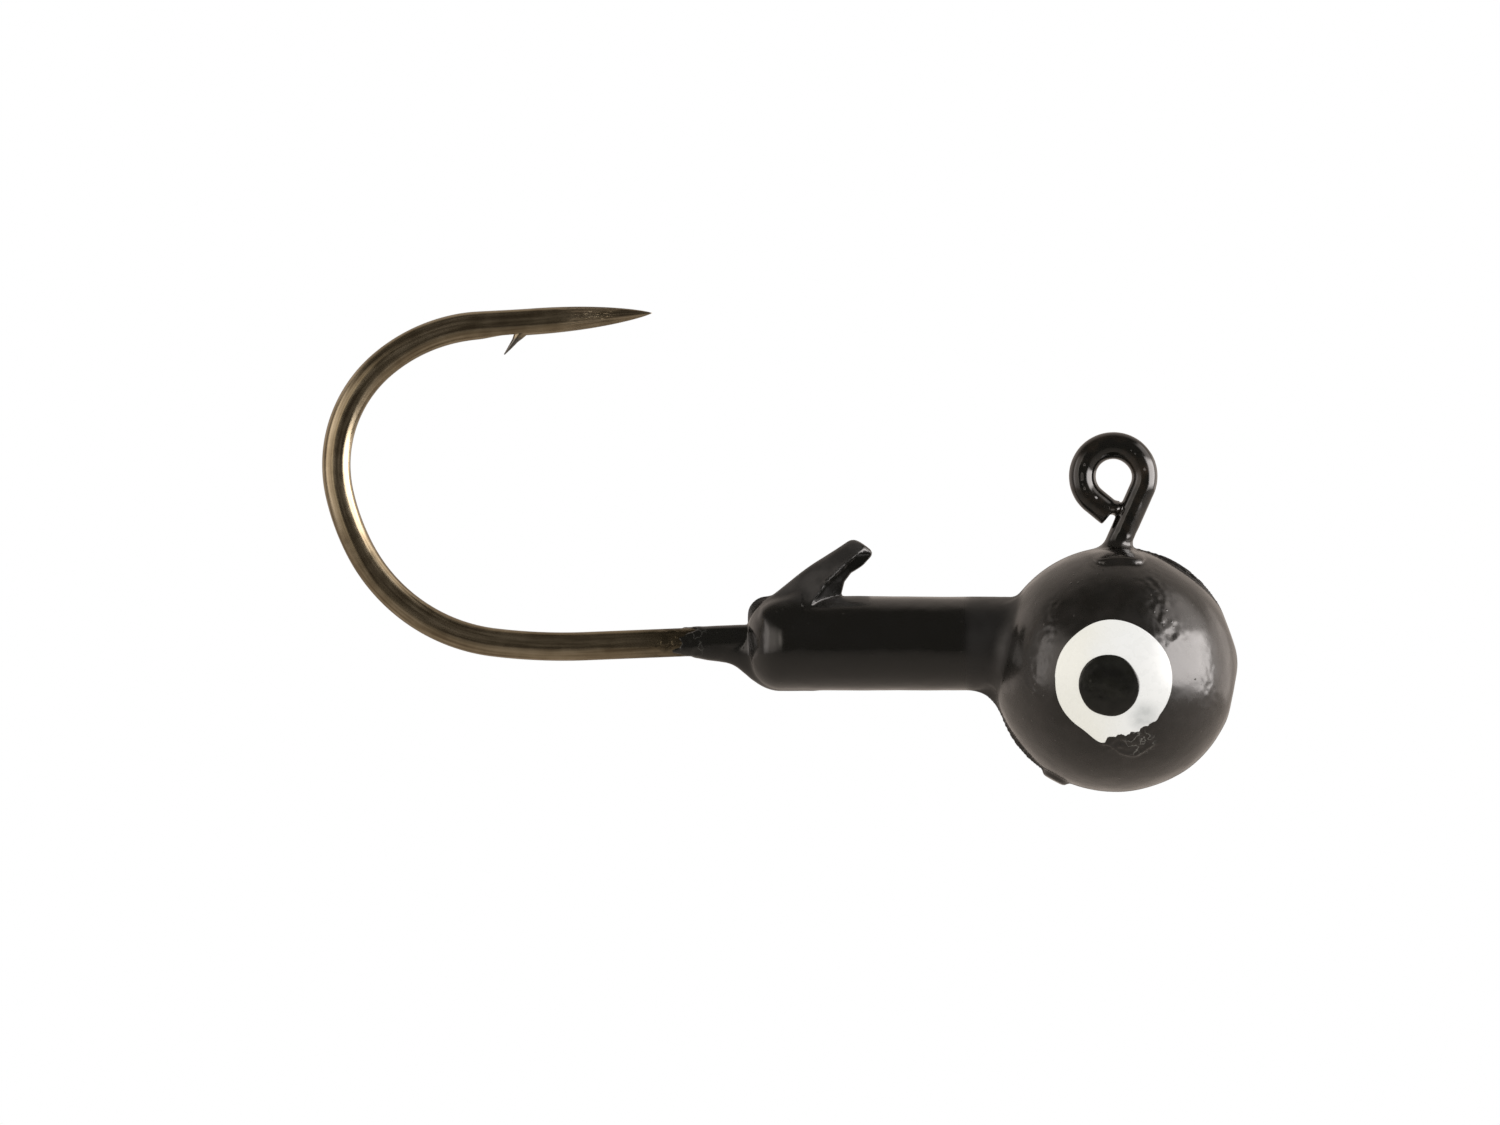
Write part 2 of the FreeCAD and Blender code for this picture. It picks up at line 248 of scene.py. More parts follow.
def ball_field(x, y, z):
    """The ball. Its near half is a little smaller than its far half at the seam, in two places."""
    dx, dz = x - BALL[0], z - BALL[2]
    angle = np.degrees(np.arctan2(dz, dx))
    far_rim = 0.03 * bump(angle, 58, 17) + 0.075 * bump(angle, -136, 22) + 0.03 * bump(angle, -52, 14)
    mismatch = 0.17 * bump(angle, 56, 19) + 0.13 * bump(angle, -140, 18)
    near = 1 - smoothstep(-0.03, 0.03, y)
    rim = (far_rim - mismatch * near) * bump(y, 0, 2.0) + 0.03 * bump(y, 0, 0.10)
    ball = np.sqrt(dx * dx + y * y + dz * dz) - (BALL_R - 0.015 * bump(angle, 125, 25) + rim)
    for direction, depth in ((-11, 0.06), (20, 0.05)):
        clip = heading(direction)
        ball = smax(ball, dx * clip[0] + dz * clip[1] - (BALL_R - depth), 0.08)
    return ball


def vent_field(x, y, z):
    """The stub of the broken-off vent under the ball."""
    out = heading(VENT_ANGLE)
    dx, dz = x - BALL[0], z - BALL[2]
    along = dx * out[0] + dz * out[1]
    aside = np.hypot(dx * out[1] - dz * out[0], y - VENT_Y)
    broken = along - VENT_REACH - 0.05 * (y - VENT_Y)
    return smax(smax(aside - VENT_R, broken, 0.22), -(along - 3), 0.1)


def collar_field(x, y, z):
    """The collar, with a round rear end. The far half of the mould left a squarer corner on top."""
    far_top = smoothstep(0.0, 0.08, y) * smoothstep(0.0, 0.6, z - COLLAR_Z)
    rho = np.hypot(y, z - COLLAR_Z)
    sideways = (y / np.maximum(rho, 0.3)) ** 2
    corner = COLLAR_CORNER + 0.45 * sideways
    corner = corner + (0.80 - corner) * far_top
    swell = 0.035 * smoothstep(-6.5, -12.0, x) * (z > COLLAR_Z) + 0.035 * (z < COLLAR_Z)
    u = COLLAR_REAR + corner - x
    v = rho - (COLLAR_R + swell * bump(y, 0, 0.9) + 0.02 * bump(y, 0, 0.10) - corner)
    outer = np.hypot(np.maximum(u, 0), np.maximum(v, 0)) - corner
    return np.maximum(np.minimum(np.maximum(u, v), 0) + outer, x - BALL[0])


def keeper_field(x, y, z):
    """The keeper barb: a round back, two flanks, and a front with its two side edges bevelled off."""
    along, forward = heading(KEEPER_ANGLE), heading(KEEPER_ANGLE - 90)
    dx, dz = x - KEEPER_FOOT[0], z - KEEPER_FOOT[1]
    s = dx * along[0] + dz * along[1]
    n = dx * forward[0] + dz * forward[1]
    stations = [-0.6, 1.0, 1.8, 2.35, 2.75, 3.2, 3.8, 4.4]
    edge = np.interp(s, stations, [2.65, 2.35, 2.03, 1.56, 1.22, 1.09, 1.16, 1.05])
    crease = np.interp(s, stations, [1.50, 1.14, 0.86, 0.68, 0.59, 0.53, 0.53, 0.54])
    half = np.interp(s, stations, [1.12, 1.16, 1.08, 0.97, 0.87, 0.76, 0.66, 0.54])
    far = np.abs(y)
    back = -(n + HEAD_FILM + 0.03 + 0.06 * bump(s, 1.8, 1.3))
    lean = 0.22 * half / np.maximum(crease, 0.2)
    flank = (far - half - lean * (n - crease)) / np.sqrt(1 + lean * lean)
    slant = np.minimum(1, 0.95 * half / np.maximum(edge - crease, 0.1))
    bevel = ((n - crease) * slant + far - half) / np.sqrt(1 + slant * slant)
    front = smax(bevel, n - edge, 0.12)
    top = (s - KEEPER_LENGTH - KEEPER_TOP_SLOPE * n) / math.hypot(1, KEEPER_TOP_SLOPE)
    body = smax(smax(back, flank, 0.95 + 0.5 * smoothstep(0.2, 0.7, far)), front, 0.05)
    return smax(smax(body, top, 0.30 + 0.35 * smoothstep(0.1, 0.6, far)), -(s + 0.55), 0.2)


RING_TAIL_START = heading(RING_START) * RING_R
TAIL_END = RING_TAIL_START - heading(RING_START - 90) * (TAIL + WIRE_FILM)
NECK_TOP = heading(RING_END) * RING_R
NECK_FOOT = NECK_TOP + heading(RING_END - 90) * 4.2  # inside the ball
WEB = np.array([0.10, -1.34])  # X and Z of the enamel between the cut end and the neck


def line_eye_field(x, y, z):
    """The film on the line eye and its neck, with a web of enamel where the cut end meets the neck."""
    radius = np.hypot(x, z)
    angle = np.degrees(np.arctan2(z, x))
    angle = np.where(angle < (RING_START + RING_END) / 2 - 180, angle + 360, angle)
    on_ring = (angle > RING_END) & (angle < RING_START)
    pooled = smoothstep(-10, 60, angle) * (radius < RING_R)
    wire = WIRE_R + WIRE_FILM + 0.02 + 0.05 * pooled
    ring = np.where(on_ring, np.abs(radius - RING_R), 9.0)
    neck = segment_distance(x, z, NECK_TOP, NECK_FOOT)
    tail = segment_distance(x, z, RING_TAIL_START, TAIL_END + (TAIL_END - RING_TAIL_START))
    out = heading(RING_START + 90)
    beyond = (x - TAIL_END[0]) * out[0] + (z - TAIL_END[1]) * out[1]
    ring_neck = np.hypot(np.minimum(ring, neck), y) - wire
    cut_tail = smax(np.hypot(np.minimum(tail, 9), y) - wire, beyond, 0.10)
    web = 0.012 + 0.95 * bump(np.hypot(x - WEB[0], z - WEB[1]), 0, 0.34)
    return smin(ring_neck, cut_tail, web)


def neck_pool_field(x, y, z):
    """The puddle that set round the neck's foot and ran towards the right side."""
    u = (x - POOL[0] - 0.12 * np.sin(2.1 * y)) / POOL_HALF[0]
    v = (y - POOL[1] + 0.03 * np.sin(3.4 * x + 2.6)) / POOL_HALF[1]
    w = (z - POOL[2] - 0.04 * np.sin(2.6 * x + 1) + 0.20 * smoothstep(-0.9, -2.7, y)) / POOL_HALF[2]
    flat = (np.abs(u) ** 3.6 + np.abs(v) ** 3.6) ** (1 / 3.6)
    return (flat**3.2 + np.abs(w) ** 3.2) ** (1 / 3.2) * 0.45 - 0.45


def shank_z(x):
    """Height of the shank's centreline."""
    return SHANK_Z + (x - LEAD_LOW[0]) * math.tan(math.radians(SHANK_SLOPE))


def wire_corner():
    """Where the neck's centreline would meet the shank's if the bend between them were sharp."""
    down, along = heading(RING_END - 90), heading(SHANK_SLOPE)
    normal = np.array([-along[1], along[0]])
    return NECK_TOP + down * (((np.array([0.0, shank_z(0.0)]) - NECK_TOP) @ normal) / (down @ normal))


WIRE_CORNER = wire_corner()


def shank_field(x, y, z):
    """The film on the shank. It sags below the wire and runs out to a ragged end."""
    w = z - shank_z(x)
    turn = np.arctan2(y, -w)
    ragged = FILM_END + 0.30 * np.sin(2.0 * turn + 0.6) + 0.16 * np.sin(5.0 * turn + 2.1)
    film = 0.075 * smoothstep(-0.12, 0.22, x - ragged) - 0.035
    depth, width = FORGED[0] + film, FORGED[1] + film
    skin = (np.sqrt((w / depth) ** 2 + (y / width) ** 2) - 1) * FORGED[1]
    sag_r = 0.32 * smoothstep(FILM_END - 0.05, FILM_END + 1.05, x) + 0.02 * np.sin(4.1 * x + 0.5)
    sag = np.hypot(w + 0.37 + 0.15 * smoothstep(FILM_END + 0.25, FILM_END + 1.85, x), y) - sag_r
    film = smin(skin, sag, 0.25)
    return smax(smax(film, FILM_LOW[0] - 0.9 - x, 0.05), x - LEAD_LOW[0] - 1.5, 0.05)


def head_field(x, y, z):
    """The coated casting: the ball, the vent's stub, the collar and its keeper."""
    ball = smin(ball_field(x, y, z), vent_field(x, y, z), 0.16)
    aside = smoothstep(0.4, 1.1, np.abs(y))
    at_foot = x < KEEPER_FOOT[0] + 1.17
    collar = smin(collar_field(x, y, z), keeper_field(x, y, z), 0.16 + 0.5 * aside * at_foot)
    below = smoothstep(0.0, -1.0, z - COLLAR_Z)
    return smin(ball, collar, 0.20 + 0.35 * aside + 1.02 * bump(y, 0.1, 0.42) * below)


def core_field(x, y, z):
    """The bare casting under the film, with the channel the hook lies in."""
    rear = np.array([LEAD_LOW[0] - 1, shank_z(LEAD_LOW[0] - 1)])
    neck = np.hypot(segment_distance(x, z, NECK_TOP, WIRE_CORNER), y)
    shank = np.hypot(segment_distance(x, z, WIRE_CORNER, rear), y)
    return smax(head_field(x, y, z) + HEAD_FILM, FORGED[0] + 0.03 - smin(neck, shank, 1.0), 0.02)


def enamel_field(x, y, z):
    """The whole film's outer surface."""
    head = head_field(x, y, z)
    shank_root = 0.10 + 1.45 * smoothstep(0.15, -0.5, z - shank_z(x)) * bump(y, 0, 0.5)
    head = smin(head, shank_field(x, y, z), shank_root)
    head = smin(head, neck_pool_field(x, y, z), 0.06)
    return smin(head, line_eye_field(x, y, z), 0.012 + 0.36 * smoothstep(-1.9, -2.7, z))


# Marked runs of the film in the hook's plane: where each starts and ends, and how wide it is.
WRINKLES = ((1.6, -4.5), (2.5, -6.7), 0.55)
NOSE_WRINKLES = ((3.9, -7.6), (4.0, -9.6), 0.35)
PITS = ((-2.4, -5.4), (-3.4, -8.8), 0.32)
SCUFFS = ((-0.2, -11.2), (1.5, -10.9), 0.28)
LOW_CREASE = ((-12.6, -5.3), (-12.0, -4.4), 0.10)
HIGH_CREASE = ((-12.0, -4.4), (-10.9, -3.4), 0.10)
LUMPS = np.array([0.7, -2.7])  # X and Z of the lumps at the neck's foot
DRIP_Z = -11.35


def near_run(x, z, run):
    """One on a marked run, falling to nothing over its width."""
    start, end, width = run
    return bump(segment_distance(x, z, np.array(start), np.array(end)), 0, width)


def enamel_relief(points):
    """How far waves, wrinkles, beads and a drip lift the film at each point."""
    x, y, z = points.T
    wave = 0.012 * noise_at(points, 0.5, 1) + 0.005 * noise_at(points, 1.7, 2)
    near = smoothstep(-0.6, -1.6, y)
    corner = bump(x, JOIN_X, 0.55) * bump(np.hypot(y, z - COLLAR_Z), COLLAR_R + 0.15, 0.55)
    rear = bump(x, COLLAR_REAR, 0.5) * smoothstep(2.0, 0.5, z - COLLAR_Z)
    wrinkled = near_run(x, z, WRINKLES) + 0.5 * near_run(x, z, NOSE_WRINKLES)
    marked = 0.030 * wrinkled + 0.020 * near_run(x, z, PITS) + 0.080 * near_run(x, z, SCUFFS)
    lumps = bump(np.hypot(x - LUMPS[0], z - LUMPS[1]), 0, 0.5)
    end = bump(x, FILM_END + 0.15, 0.7) * (x < FILM_END + 2.05)
    beads = near_run(x, z, LOW_CREASE) + near_run(x, z, HIGH_CREASE)
    rough = 0.005 * corner + 0.008 * rear + near * marked + 0.045 * lumps + 0.055 * end + 0.03 * beads
    drip = bump(z - DRIP_Z + 0.25 * np.sin(2.3 * x) + 0.1 * noise_at(points, 1.5, 6), 0, 0.07)
    drip = drip * near * smoothstep(-0.8, -0.2, x) * smoothstep(2.2, 1.2, x)
    return wave + rough * noise_at(points, 3.6, 3) + 0.045 * (drip + beads)


def lifted(points, normals, reach=0.02):
    """The points moved out by the relief, with the normals of the surface they then lie on."""
    height = enamel_relief(points)
    slope = np.zeros_like(points)
    for axis in range(3):
        ahead = points.copy()
        ahead[:, axis] += reach
        slope[:, axis] = (enamel_relief(ahead) - height) / reach
    slope -= normals * (slope * normals).sum(1, keepdims=True)
    raised = normals - slope
    return points + normals * height[:, None], raised / np.linalg.norm(raised, axis=1, keepdims=True)


def make_enamel():
    """The one film over the casting, the line eye and the front of the shank."""
    step = 0.1
    low = np.array([FILM_LOW[0] - 1.3, -BALL_R - 0.35, HEAD_LOW[2] - 0.35])
    high = np.array([HEAD_HIGH[0] + 0.35, BALL_R + 0.35, RING_HIGH[2] + 0.3])
    points, faces = surface_net(enamel_field, low, high, step)
    points, normals = lifted(*settle(enamel_field, points))
    replaced = ("head_enamel", "line_eye_enamel", "shank_enamel")
    make_object("black_enamel", points, faces, enamel_material(), "black_enamel", replaced, normals)


def make_core():
    """The lead inside the film, which no view shows."""
    low = np.array([LEAD_LOW[0] - 0.5, -BALL_R - 0.3, HEAD_LOW[2] - 0.3])
    high = np.array([HEAD_HIGH[0] + 0.3, BALL_R + 0.3, KEEPER_FOOT[1] + 3.9])
    points, faces = surface_net(core_field, low, high, 0.2)
    points, normals = settle(core_field, points)
    make_object("lead_core", points, faces, lead_material(), "lead", ("lead_casting",), normals)


# ---- The hook -----------------------------------------------------------------------------------


def hook_path(step=0.06):
    """Points along the wire's centreline, their headings in degrees, and the distance along it."""
    shank_line = 180 + SHANK_SLOPE
    turn = RING_END - 90 + 360 - shank_line
    setback = NECK_BEND_R * math.tan(math.radians(turn / 2))
    bend_end = WIRE_CORNER + heading(shank_line) * setback
    rear = np.array([LEAD_LOW[0], shank_z(LEAD_LOW[0])])
    runs = [
        (TAIL, 0.0),
        (RING_R * math.radians(RING_START - RING_END), RING_START - RING_END),
        (np.linalg.norm(WIRE_CORNER - NECK_TOP) - setback, 0.0),
        (NECK_BEND_R * math.radians(turn), turn),
        (np.linalg.norm(rear - bend_end) + SHANK_FREE, 0.0),
    ]
    runs += [(radius * math.radians(sweep), sweep) for radius, sweep in BEND_ARCS]
    runs.append((POINT_RUN, 0.0))
    lengths = np.array([length for length, _ in runs])
    ends = np.cumsum(lengths)
    distance = np.linspace(0, ends[-1], int(ends[-1] / step) + 1)
    turned = np.interp(distance, np.concatenate([[0], ends]), np.cumsum([0] + [t for _, t in runs]))
    degrees = RING_START - 90 - turned
    middle = np.radians((degrees[1:] + degrees[:-1]) / 2)
    gaps = np.diff(distance)
    start = RING_TAIL_START - heading(RING_START - 90) * TAIL
    xs = start[0] + np.concatenate([[0], np.cumsum(np.cos(middle) * gaps)])
    zs = start[1] + np.concatenate([[0], np.cumsum(np.sin(middle) * gaps)])
    return np.stack([xs, zs], 1), degrees, distance


def wire_halves(from_tip, x):
    """Half depth and half width of the wire at each distance from its tip."""
    forged = smoothstep(FORGED_FROM, FORGED_FULL, x)
    depth = WIRE_R + (FORGED[0] - WIRE_R) * forged
    width = WIRE_R + (FORGED[1] - WIRE_R) * forged
    necking = 1 - 0.07 * smoothstep(POINT_RUN + 0.8, POINT_TAPER, from_tip)
    ogive = np.sin(np.pi / 2 * np.clip(from_tip / POINT_TAPER, 0, 1) ** 0.75)
    share = np.maximum(necking * ogive, 0.02)
    return depth * share, width * share


def swept_mesh(path, degrees, depth, width, squareness, around=48, cut=None):
    """Rings of a superellipse along the path, closed at both ends. A cut flattens the inner side."""
    cut = np.zeros(len(path)) if cut is None else cut
    turns = np.linspace(0, 2 * np.pi, around, endpoint=False)
    c, s = np.cos(turns), np.sin(turns)
    rings = []
    for at, angle, a, b, power, shaved in zip(path, degrees, depth, width, squareness, cut):
        side = heading(angle + 90)
        reach = (np.abs(c) ** power + np.abs(s) ** power) ** (-1 / power)
        u, v = np.maximum(a * c * reach, shaved - a), b * s * reach
        rings.append(np.stack([at[0] + side[0] * u, v, at[1] + side[1] * u], 1))
    points = np.concatenate(rings)
    count = len(rings)
    ids = np.arange(count * around).reshape(count, around)
    beside = np.roll(ids, -1, 1)
    quads = np.stack([ids[:-1], ids[1:], beside[1:], beside[:-1]], -1).reshape(-1, 4)
    faces = quads.tolist() + [ids[0].tolist(), ids[-1][::-1].tolist()]
    return points, faces


def barb_mesh(tip, degrees):
    """The sliver cut up from the inside of the point, leaning back towards the bend."""
    inward = -heading(degrees + 90)
    root = tip - heading(degrees) * BARB_ROOT + inward * 0.30
    lean = degrees + 180 + BARB_LEAN
    share = np.linspace(0, 1, 15)
    bow = 0.02 * np.sin(np.pi * share)
    path = root + np.outer(share * BARB_LENGTH, heading(lean)) + np.outer(bow, heading(lean + 90))
    depth = np.interp(share, [0, 0.22, 0.42, 0.7, 1], [0.30, 0.22, 0.135, 0.085, 0.022])
    width = np.interp(share, [0, 0.3, 0.6, 0.85, 1], [0.30, 0.23, 0.16, 0.085, 0.014])
    return swept_mesh(path, np.full(15, lean), depth, width, np.full(15, 2.2), 20)


def unite(piece, other):
    """Makes the piece and the other object one surface, and deletes the other."""
    union = piece.modifiers.new("union", "BOOLEAN")
    union.operation = "UNION"
    union.solver = "EXACT"
    union.object = other
    depsgraph = bpy.context.evaluated_depsgraph_get()
    joined = bpy.data.meshes.new_from_object(piece.evaluated_get(depsgraph))
    piece.modifiers.clear()
    piece.data = joined
    joined.shade_smooth()
    bpy.data.objects.remove(other)


def make_hook():
    """The wire from the line eye to the point, with the barb raised on it."""
    path, degrees, distance = hook_path()
    from_tip = distance[-1] - distance
    depth, width = wire_halves(from_tip, path[:, 0])
    behind_barb = smoothstep(BARB_ROOT, BARB_ROOT + 0.2, from_tip) * smoothstep(7.4, 6.2, from_tip)
    ground = smoothstep(POINT_TAPER, 1.5, from_tip)
    points, faces = swept_mesh(path, degrees, depth, width, 2 - 0.45 * ground, cut=0.085 * behind_barb)
    lacquer = bronze_material()
    wire = make_object("hook_wire", points, faces, lacquer, "bronze_hook", ("hook",))
    barb = make_object("barb_cutter", *barb_mesh(path[-1], degrees[-1]), lacquer, "bronze_hook")
    unite(wire, barb)
    name_along(wire, path, degrees, distance, depth, width)


def name_along(wire, path, degrees, distance, depth, width):
    """Stores each point's distance along the wire and its two offsets from the middle, in radii."""
    points = np.zeros(len(wire.data.vertices) * 3, dtype=np.float32)
    wire.data.vertices.foreach_get("co", points)
    points = points.reshape(-1, 3) / MM
    plane = points[:, [0, 2]]
    batches = np.array_split(plane, 60)  # small enough for the memory
    nearest = np.concatenate([((batch[:, None] - path) ** 2).sum(2).argmin(1) for batch in batches])
    offset = (plane - path[nearest]).T
    ahead = (offset * heading(degrees[nearest])).sum(0)
    across = (offset * heading(degrees[nearest] + 90)).sum(0) / depth[nearest]
    through = points[:, 1] / width[nearest]
    layer = wire.data.attributes.new("along_wire", "FLOAT_VECTOR", "POINT")
    layer.data.foreach_set("vector", np.stack([distance[nearest] + ahead, across, through], 1).ravel())


# ---- The painted eyes ---------------------------------------------------------------------------


def dab_mesh(side, centre, outline, lift, thickness, rings=26, around=180):
    """A dab of paint on the ball: a domed top with a rounded rim, closed by a bottom inside the ball."""
    turns = np.linspace(0, 2 * np.pi, around, endpoint=False)
    edge = outline(turns)
    shares = np.sin(np.linspace(0.04, 1, rings) * np.pi / 2)
    layers = []

    def layer(share, height):
        x = centre[0] + edge * share * np.cos(turns)
        z = centre[1] + edge * share * np.sin(turns)
        radius = BALL_R + lift + height
        y = np.sqrt(radius**2 - (x - BALL[0]) ** 2 - (z - BALL[2]) ** 2)
        return np.stack([x, side * y, z], 1)

    for share in shares:
        rim = np.clip((1 - share) / 0.06, 0, 1)
        layers.append(layer(share, thickness * (0.25 + 0.75 * np.sqrt(rim * (2 - rim)))))
    layers.append(layer(1.0, -0.06))
    layers.append(layer(0.6, -0.06))
    points = np.concatenate(layers)
    count = len(layers)
    ids = np.arange(count * around).reshape(count, around)
    beside = np.roll(ids, -1, 1)
    quads = np.stack([ids[:-1], beside[:-1], beside[1:], ids[1:]], -1).reshape(-1, 4)
    faces = quads.tolist() + [ids[0][::-1].tolist(), ids[-1].tolist()]
    if side > 0:
        faces = [f[::-1] for f in faces]
    return points, faces


def wobble(turns, seed, size):
    """Small random waves round an outline."""
    rng = np.random.default_rng(seed)
    total = np.zeros_like(turns)
    for order in range(2, 9):
        total += size / order * np.sin(order * turns + rng.uniform(0, 2 * np.pi))
    return total


def white_outline(side):
    """How far the white reaches at each angle. On the right side its lower edge is torn."""
    radius = (WHITE_HIGH[0] - WHITE_LOW[0]) / 2

    def outline(turns):
        degrees = (np.degrees(turns) + 180) % 360 - 180
        edge = radius + wobble(turns, 4 if side < 0 else 11, 0.03)
        if side < 0:
            edge = edge - 0.07 * bump(degrees, 52, 32) + 0.02 * bump(degrees, 165, 40)
            chip = smoothstep(-97, -84, degrees) * smoothstep(-46, -54, degrees)
            notches = 0.07 + 0.05 * np.sin(degrees * 0.52 + 1) + 0.025 * np.sin(degrees * 1.3)
            edge = edge - chip * np.maximum(notches, 0.01) + 0.05 * bump(degrees, -44, 3.5)
            tail = smoothstep(-128, -98.5, degrees) ** 1.6 * smoothstep(-95.5, -98, degrees)
            edge = edge + 0.29 * tail
        return edge

    return outline


def pupil_outline(side):
    """How far the pupil reaches at each angle."""
    radius = (PUPIL_HIGH[0] - PUPIL_LOW[0]) / 2

    def outline(turns):
        degrees = (np.degrees(turns) + 180) % 360 - 180
        return radius + wobble(turns, 7 if side < 0 else 15, 0.025) - 0.06 * bump(degrees, 38, 34) + 0.02

    return outline


def make_eyes():
    """A dab of white and a pupil on each side of the ball."""
    white, black = white_material(), pupil_material()
    for name, side in (("right", -1), ("left", 1)):
        for part, low, high, outline, lift, thickness, material, slot in (
            ("white", WHITE_LOW, WHITE_HIGH, white_outline(side), 0.0, 0.045, white, "white_paint"),
            ("pupil", PUPIL_LOW, PUPIL_HIGH, pupil_outline(side), 0.04, 0.045, black, "black_paint"),
        ):
            centre = ((low[0] + high[0]) / 2, (low[2] + high[2]) / 2)
            points, faces = dab_mesh(side, centre, outline, lift, thickness)
            node = f"{name}_eye_{part}"
            make_object(f"{name}_{part}_paint", points, faces, material, slot, (node,))


# ---- Materials ----------------------------------------------------------------------------------

UNDER_EYE = np.array([1.0, -4.0, -3.1])  # the spot of light grey curls on the right side below the eye, from the ball's centre
THIN_WHITE = np.array([1.17, -4.6, -1.95])  # and where the white paint is thin
KEEPER_FRONT = -10.0  # X just past the keeper's top


class Nodes:
    """The node tree of a material, light or world, built by short calls."""

    def __init__(self, owner):
        owner.use_nodes = True
        self.owner = owner
        self.tree = owner.node_tree
        self.shader = self.tree.nodes.get("Principled BSDF")

    def node(self, kind, **settings):
        made = self.tree.nodes.new(kind)
        for key, value in settings.items():
            setattr(made, key, value)
        return made

    def link(self, source, target):
        self.tree.links.new(source, target)

    def place(self):
        """The row frame's coordinates, in millimetres."""
        coords = self.node("ShaderNodeTexCoord")
        scale = self.node("ShaderNodeVectorMath", operation="SCALE")
        scale.inputs["Scale"].default_value = 1 / MM
        self.link(coords.outputs["Object"], scale.inputs[0])
        return scale.outputs[0]

    def noise(self, vector, scale, detail=3.0, roughness=0.5):
        made = self.node("ShaderNodeTexNoise")
        made.inputs["Scale"].default_value = scale
        made.inputs["Detail"].default_value = detail
        made.inputs["Roughness"].default_value = roughness
        self.link(vector, made.inputs["Vector"])
        return made.outputs["Fac"]

    def ramp(self, value, *stops):
        """A ramp of (position, value or colour) stops."""
        made = self.node("ShaderNodeValToRGB")
        for _ in stops[2:]:
            made.color_ramp.elements.new(0.5)
        for element, (position, colour) in zip(made.color_ramp.elements, stops):
            element.position = position
            element.color = (*colour, 1) if hasattr(colour, "__len__") else (colour,) * 3 + (1,)
        self.link(value, made.inputs["Fac"])
        return made.outputs["Color"]

    def span(self, value, low, high, to_low=0.0, to_high=1.0, kind="SMOOTHSTEP"):
        """The value carried from low..high to to_low..to_high, and held past both."""
        made = self.node("ShaderNodeMapRange", interpolation_type=kind)
        for key, number in zip(("From Min", "From Max", "To Min", "To Max"), (low, high, to_low, to_high)):
            made.inputs[key].default_value = number
        self.link(value, made.inputs["Value"])
        return made.outputs["Result"]

    def maths(self, operation, a, b=0.0):
        made = self.node("ShaderNodeMath", operation=operation)
        for socket, value in zip(made.inputs, (a, b)):
            if isinstance(value, (int, float)):
                socket.default_value = value
            else:
                self.link(value, socket)
        return made.outputs[0]

    def product(self, *values):
        total = values[0]
        for value in values[1:]:
            total = self.maths("MULTIPLY", total, value)
        return total

    def distance(self, vector, centre):
        made = self.node("ShaderNodeVectorMath", operation="DISTANCE")
        made.inputs[1].default_value = centre
        self.link(vector, made.inputs[0])
        return made.outputs["Value"]

    def pick(self, share, first, second):
        """The first shader, and the second where the share is one."""
        made = self.node("ShaderNodeMixShader")
        for socket, value in zip(made.inputs, (share, first, second)):
            self.link(value, socket)
        return made.outputs[0]

    def mix(self, share, a, b):
        """The colour a, and b where the share is one."""
        made = self.node("ShaderNodeMix", data_type="RGBA")
        sockets = {socket.identifier: socket for socket in (*made.inputs, *made.outputs)}
        for key, value in (("Factor_Float", share), ("A_Color", a), ("B_Color", b)):
            if hasattr(value, "__len__"):
                sockets[key].default_value = (*value, 1)
            else:
                self.link(value, sockets[key])
        return sockets["Result_Color"]

    def axis(self, vector, name):
        made = self.node("ShaderNodeSeparateXYZ")
        self.link(vector, made.inputs[0])
        return made.outputs[name]

    def bump(self, height, strength, distance, before=None):
        made = self.node("ShaderNodeBump")
        made.inputs["Strength"].default_value = strength
        made.inputs["Distance"].default_value = distance * MM
        self.link(height, made.inputs["Height"])
        if before is not None:
            self.link(before, made.inputs["Normal"])
        return made.outputs["Normal"]

    def finish(self, colour, roughness, normal, **numbers):
        """Links the shader's main sockets, sets the numbers, and returns what the tree belongs to."""
        self.link(colour, self.shader.inputs["Base Color"])
        self.link(roughness, self.shader.inputs["Roughness"])
        self.link(normal, self.shader.inputs["Normal"])
        for key, value in numbers.items():
            self.shader.inputs[key.replace("_", " ")].default_value = value
        return self.owner


def enamel_dust(n, place, off_ball, ring):
    """Specks of dust under the enamel, fainter off the ball and faintest on the line eye."""
    cells = n.node("ShaderNodeTexVoronoi")
    cells.inputs["Scale"].default_value = 2.3
    n.link(place, cells.inputs["Vector"])
    speck = n.ramp(cells.outputs["Distance"], (0.0, 1.0), (0.13, 0.0))
    sparse = n.ramp(n.noise(place, 0.9, 2), (0.45, 0.0), (0.6, 1.0))
    return n.product(speck, sparse, n.span(off_ball, 0, 1, 1.0, 0.5), n.span(ring, 0, 1, 1.0, 0.15))


